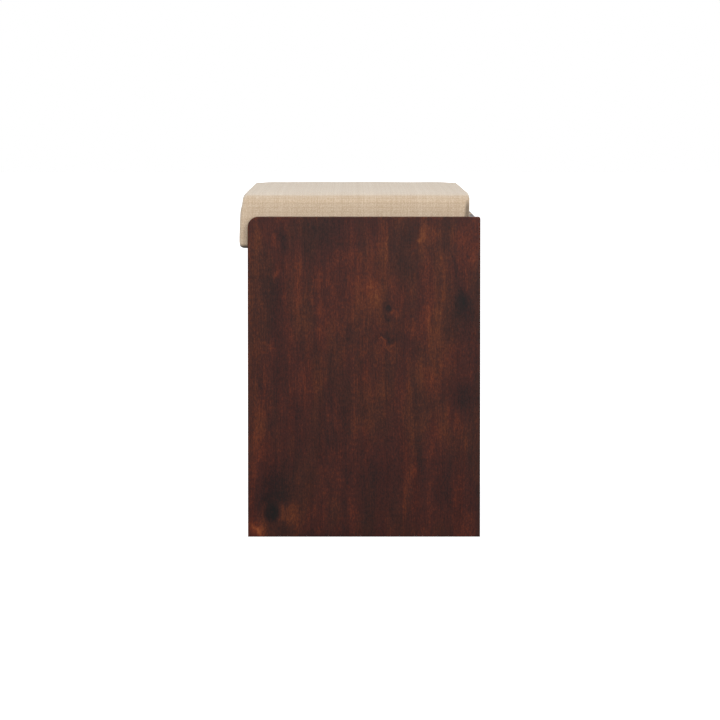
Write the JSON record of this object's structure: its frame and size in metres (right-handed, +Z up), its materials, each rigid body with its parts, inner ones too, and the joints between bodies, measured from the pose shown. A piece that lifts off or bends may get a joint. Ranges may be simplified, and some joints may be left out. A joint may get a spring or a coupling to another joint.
{
  "type": "storage bench",
  "caption": "Storage bench with slab ends in dark stained timber and an upholstered linen lid that lifts on butt hinges and is held open by folding stays.",
  "frame": {"origin": "on the floor, at the centre of the rectangle that the bench covers", "axes": "+Z up, X along the bench, -Y out of its front and +Y out of its back"},
  "size_m": [0.9, 0.35, 0.5],
  "materials": {
    "stained_wood": "dark red-brown stained hardwood, satin lacquer",
    "batten_wood": "unfinished planed softwood",
    "plywood": "unfinished plywood",
    "beech": "fluted beech dowel",
    "foam": "upholstery foam",
    "wadding": "polyester wadding",
    "linen": "oatmeal linen-look plain weave",
    "dust_cloth": "black non-woven cloth",
    "hinge_brass": "satin brass",
    "zinc_steel": "zinc plated",
    "rubber": "matt"
  },
  "bodies": {
    "case": {"back_panel": "stained_wood", "cleat_screws": "zinc_steel", "corner_block_back_left": "batten_wood", "corner_block_back_right": "batten_wood", "corner_block_front_left": "batten_wood", "corner_block_front_right": "batten_wood", "corner_block_screws": "zinc_steel", "floor_cleat_back": "batten_wood", "floor_cleat_front": "batten_wood", "floor_cleat_left": "batten_wood", "floor_cleat_right": "batten_wood", "floor_panel": "plywood", "floor_panel_screws": "zinc_steel", "front_panel": "stained_wood", "hinge_case_screws": "hinge_brass", "hinge_left_case_leaf": "hinge_brass", "hinge_left_pin": "hinge_brass", "hinge_middle_case_leaf": "hinge_brass", "hinge_middle_pin": "hinge_brass", "hinge_right_case_leaf": "hinge_brass", "hinge_right_pin": "hinge_brass", "lid_bumpers": "rubber", "panel_dowels": "beech", "side_panel_left": "stained_wood", "side_panel_right": "stained_wood", "stay_case_bracket_screws": "zinc_steel", "stay_left_case_bracket": "zinc_steel", "stay_left_case_rivet": "zinc_steel", "stay_right_case_bracket": "zinc_steel", "stay_right_case_rivet": "zinc_steel"},
    "lid": {"seat_board": "plywood", "apron_board": "batten_wood", "apron_screws": "zinc_steel", "foam_pad": "foam", "front_wadding": "wadding", "fabric_cover": "linen", "dust_cover": "dust_cloth", "dust_cover_staples": "zinc_steel", "hinge_lid_screws": "hinge_brass", "stay_lid_bracket_screws": "zinc_steel", "hinge_left_lid_leaf": "hinge_brass", "hinge_middle_lid_leaf": "hinge_brass", "hinge_right_lid_leaf": "hinge_brass", "stay_left_lid_bracket": "zinc_steel", "stay_left_lid_rivet": "zinc_steel", "stay_right_lid_bracket": "zinc_steel", "stay_right_lid_rivet": "zinc_steel"},
    "stay_left_lower": {"stay_left_lower_arm": "zinc_steel", "stay_left_elbow_rivet": "zinc_steel"},
    "stay_left_upper": {"stay_left_upper_arm": "zinc_steel"},
    "stay_right_lower": {"stay_right_lower_arm": "zinc_steel", "stay_right_elbow_rivet": "zinc_steel"},
    "stay_right_upper": {"stay_right_upper_arm": "zinc_steel"}
  },
  "joints": [
    {"name": "lid_hinge", "type": "hinge", "parent": "case", "child": "lid", "pos_m": [0, 0.1615, 0.4606], "axis": [-1, 0, 0], "range_deg": [0, 95]},
    {"name": "stay_left_lower_pivot", "type": "hinge", "parent": "case", "child": "stay_left_lower", "pos_m": [-0.4267, 0.128, 0.3756], "axis": [-1, 0, 0], "range_deg": [0, 95]},
    {"name": "stay_left_upper_pivot", "type": "hinge", "parent": "lid", "child": "stay_left_upper", "pos_m": [-0.4244, 0.0345, 0.4346], "axis": [-1, 0, 0], "range_deg": [-95, 0]},
    {"name": "stay_right_lower_pivot", "type": "hinge", "parent": "case", "child": "stay_right_lower", "pos_m": [0.4267, 0.128, 0.3756], "axis": [-1, 0, 0], "range_deg": [0, 95]},
    {"name": "stay_right_upper_pivot", "type": "hinge", "parent": "lid", "child": "stay_right_upper", "pos_m": [0.4244, 0.0345, 0.4346], "axis": [-1, 0, 0], "range_deg": [-95, 0]}
  ],
  "couplings": [
    {"joint": "stay_left_lower_pivot", "follows": "lid_hinge", "ratio": 1},
    {"joint": "stay_left_upper_pivot", "follows": "lid_hinge", "ratio": -1},
    {"joint": "stay_right_lower_pivot", "follows": "lid_hinge", "ratio": 1},
    {"joint": "stay_right_upper_pivot", "follows": "lid_hinge", "ratio": -1}
  ]
}
